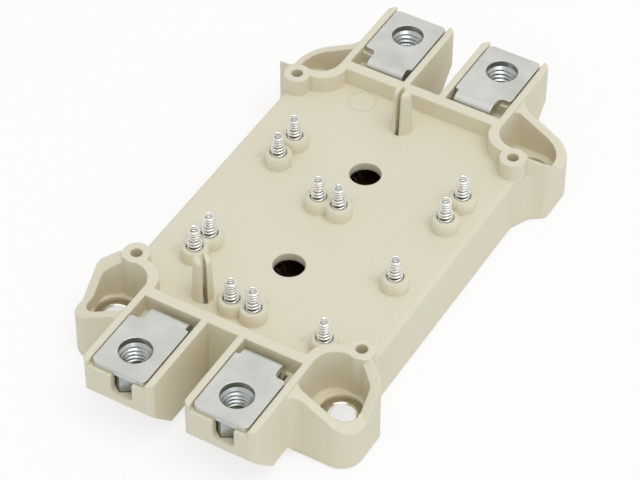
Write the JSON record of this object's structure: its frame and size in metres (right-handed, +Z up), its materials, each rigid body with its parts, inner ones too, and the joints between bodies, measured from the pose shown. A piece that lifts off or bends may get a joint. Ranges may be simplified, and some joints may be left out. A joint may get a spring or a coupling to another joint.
{
  "type": "igbt module",
  "caption": "Low-profile half-bridge power module with spring contacts on its lid, screw terminals at both ends and mounting ears",
  "frame": {"origin": "middle of the base plane", "axes": "+X along the length, from the direct-current terminals to the alternating-current terminals; +Y across the module towards the plus terminal; +Z up out of the lid"},
  "size_m": [0.117, 0.0626, 0.0234],
  "materials": {
    "housing": "warm cream moulded glass-filled plastic, matte with softly rounded edges",
    "baseplate": "nickel-plated copper, satin",
    "terminal": "tin-plated copper strip, pale grey satin with faint diagonal rolling marks",
    "steel": "zinc-plated steel, bright with a blue-grey tint",
    "spring": "bright silver-plated spring wire",
    "ceramic": "fired white ceramic, matte",
    "copper": "bare copper tracks, satin",
    "silicon": "dark grey metallised silicon chips",
    "wire": "drawn aluminium bond wire"
  },
  "bodies": {
    "root": {"housing": "housing", "baseplate": "baseplate", "dc_plus_terminal": "terminal", "dc_minus_terminal": "terminal", "ac_terminal_1": "terminal", "ac_terminal_2": "terminal", "mounting_sleeve_1": "steel", "mounting_sleeve_2": "steel", "mounting_sleeve_3": "steel", "mounting_sleeve_4": "steel", "terminal_nut_1": "steel", "terminal_nut_2": "steel", "terminal_nut_3": "steel", "terminal_nut_4": "steel", "contact_spring_1": "spring", "contact_spring_2": "spring", "contact_spring_3": "spring", "contact_spring_4": "spring", "contact_spring_5": "spring", "contact_spring_6": "spring", "contact_spring_7": "spring", "contact_spring_8": "spring", "contact_spring_9": "spring", "contact_spring_10": "spring", "contact_spring_11": "spring", "contact_spring_12": "spring", "substrate_1": "ceramic", "substrate_2": "ceramic", "copper_tracks_1": "copper", "copper_tracks_2": "copper", "igbt_chip_1": "silicon", "igbt_chip_2": "silicon", "igbt_chip_3": "silicon", "igbt_chip_4": "silicon", "diode_chip_1": "silicon", "diode_chip_2": "silicon", "diode_chip_3": "silicon", "diode_chip_4": "silicon", "bond_wires": "wire", "temperature_sensor": "ceramic"}
  },
  "joints": []
}
